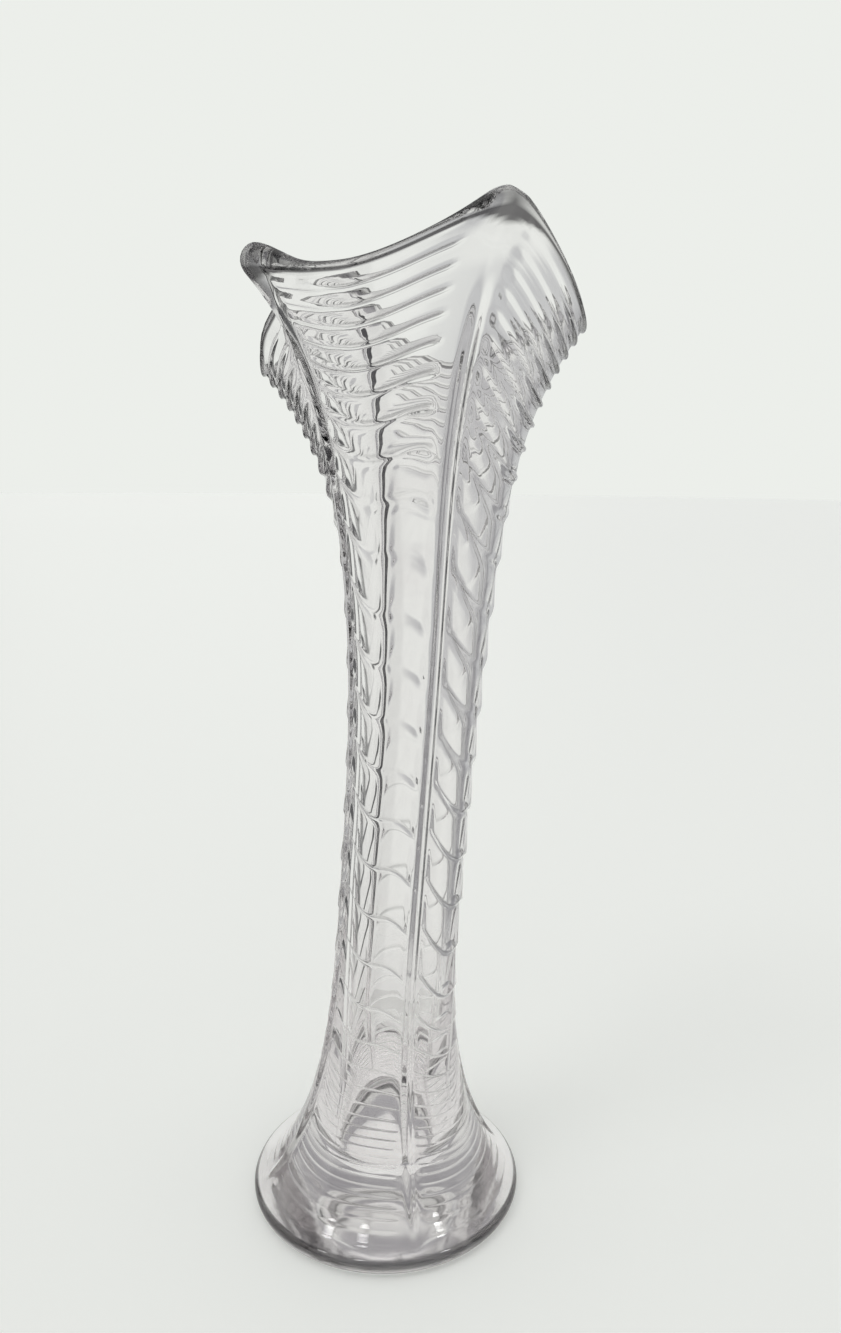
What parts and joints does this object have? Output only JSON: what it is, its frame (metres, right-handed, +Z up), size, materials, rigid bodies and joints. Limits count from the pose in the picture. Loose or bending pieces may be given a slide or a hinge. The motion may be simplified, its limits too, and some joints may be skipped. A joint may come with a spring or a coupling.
{
  "type": "swung vase",
  "caption": "Tall slender flower vase of clear pressed and swung glass, with a round foot, shingled ribs between smooth ridges and a flared rim pulled into corners.",
  "frame": {"origin": "centre of the flat underside of the foot", "axes": "+Z up through the mouth, -Y towards the ridge under the tallest corner of the rim, +X to the right seen from that ridge"},
  "size_m": [0.1018, 0.0958, 0.3102],
  "materials": {
    "clear_glass": "clear fire-polished glass with a faint lavender tint"
  },
  "bodies": {
    "root": {"glass_vase": "clear_glass"}
  },
  "joints": []
}
